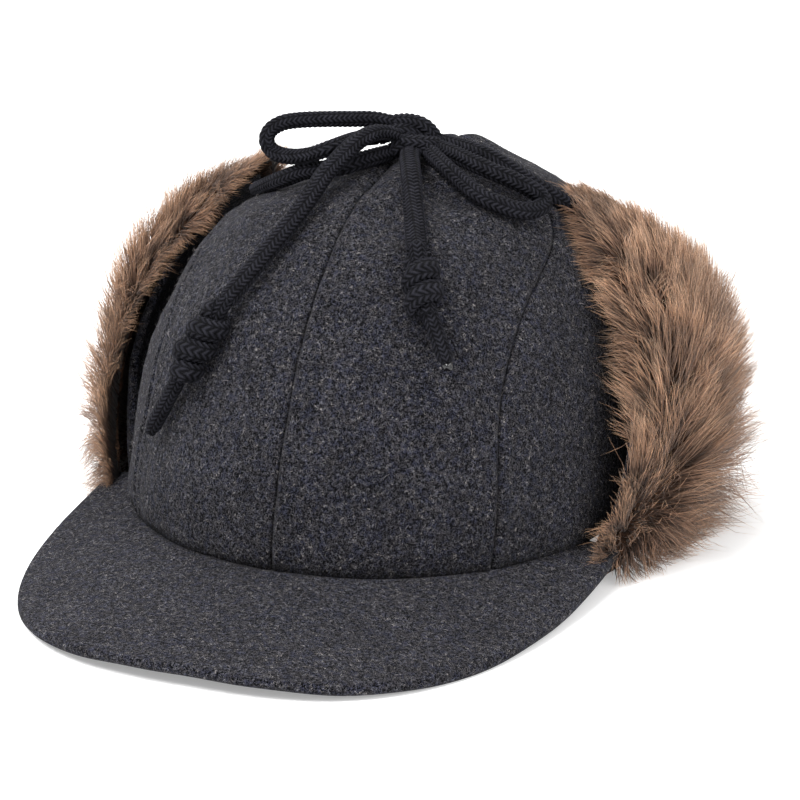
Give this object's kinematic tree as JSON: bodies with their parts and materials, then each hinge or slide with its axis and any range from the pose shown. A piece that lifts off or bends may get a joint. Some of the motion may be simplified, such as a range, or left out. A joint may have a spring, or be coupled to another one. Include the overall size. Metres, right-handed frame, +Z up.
{
  "type": "peaked cap with ear flaps",
  "caption": "Charcoal wool cap with a flat peak, domed crown and brown faux fur ear flaps folded up and tied on top with a black cord bow.",
  "frame": {"origin": "middle of the footprint without the cords, on the floor that the cap lies on", "axes": "+Z up, -Y towards the peak (the wearer's front), +X towards the wearer's left"},
  "size_m": [0.2524, 0.318, 0.1443],
  "materials": {
    "wool": "charcoal grey melton wool, matt and fuzzy",
    "faux_fur": "brown faux fur, dark at the roots and tan at the tips",
    "cord": "black braided cord, soft sheen"
  },
  "bodies": {
    "root": {"crown_front_left": "wool", "crown_front_right": "wool", "crown_back_left": "wool", "crown_back_right": "wool", "peak": "wool", "flap_left": "wool", "flap_right": "wool", "fur_left": "faux_fur", "fur_right": "faux_fur", "cord_run_left": "cord", "cord_run_right": "cord", "bow_loop_left": "cord", "bow_loop_right": "cord", "cord_tail_side": "cord", "cord_tail_front": "cord", "bow_knot": "cord", "stopper_knot_side": "cord", "stopper_knot_front": "cord"}
  },
  "joints": []
}
